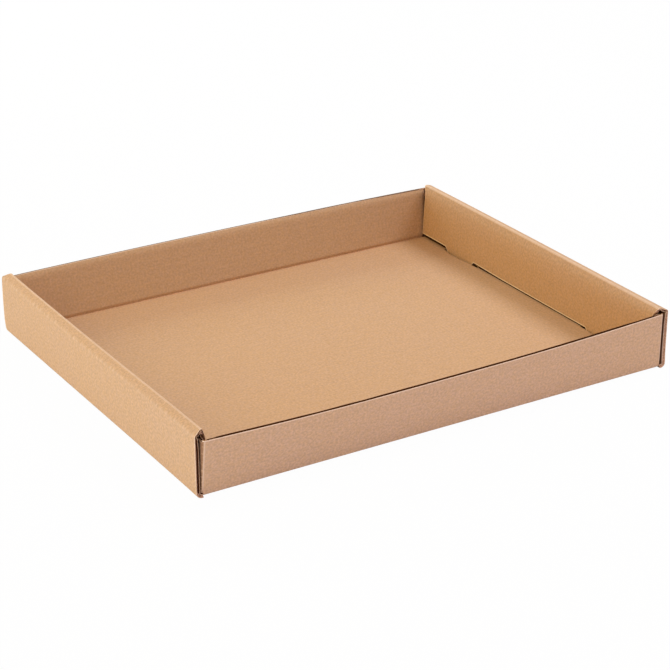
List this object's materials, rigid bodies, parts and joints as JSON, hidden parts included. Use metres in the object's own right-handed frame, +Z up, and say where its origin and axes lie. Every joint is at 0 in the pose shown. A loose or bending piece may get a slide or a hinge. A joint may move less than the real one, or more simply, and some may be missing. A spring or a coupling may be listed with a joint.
{
  "type": "cardboard tray",
  "caption": "Shallow open tray folded from one blank of corrugated kraft board, with rolled-over side walls locked by tabs into the base",
  "frame": {"origin": "Under the middle of the tray's outline, on the surface that the base rests on", "axes": "X runs along the tray from the left to the right rolled wall, Y from the front to the rear wall, Z up"},
  "size_m": [0.4, 0.3356, 0.0501],
  "materials": {
    "kraft_board": "uncoated brown kraft, matt"
  },
  "bodies": {
    "root": {"tray": "kraft_board"}
  },
  "joints": []
}
